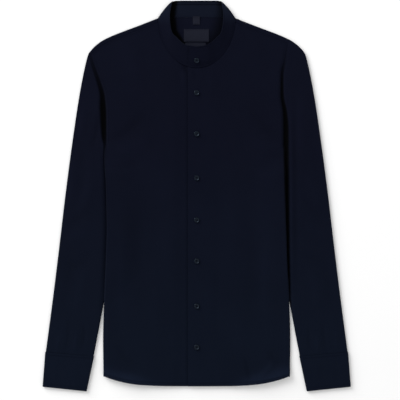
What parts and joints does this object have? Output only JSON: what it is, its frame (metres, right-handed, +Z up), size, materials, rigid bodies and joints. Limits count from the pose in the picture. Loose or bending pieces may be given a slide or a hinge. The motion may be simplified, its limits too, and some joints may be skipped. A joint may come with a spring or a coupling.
{
  "type": "mandarin collar shirt",
  "caption": "Long-sleeved shirt with a stand-up band collar and a full button front, laid flat on its back with its sleeves down its sides.",
  "frame": {"origin": "on the surface the shirt lies on, under the middle of its outline", "axes": "+X towards the wearer's left, +Y up the garment to the collar, +Z up from the surface"},
  "size_m": [0.632, 0.7997, 0.0163],
  "materials": {
    "cloth": "matt plain weave",
    "band": "matt plain weave",
    "label": "woven, bare",
    "button": "glossy"
  },
  "bodies": {
    "root": {"front_right": "cloth", "front_left": "cloth", "back": "cloth", "yoke": "cloth", "sleeve_right": "cloth", "sleeve_left": "cloth", "cuff_right": "cloth", "cuff_left": "cloth", "collar_band": "band", "label_neck": "label", "label_size": "label", "label_fit": "label", "button_1": "button", "button_2": "button", "button_3": "button", "button_4": "button", "button_5": "button", "button_6": "button", "button_7": "button", "button_8": "button"}
  },
  "joints": []
}
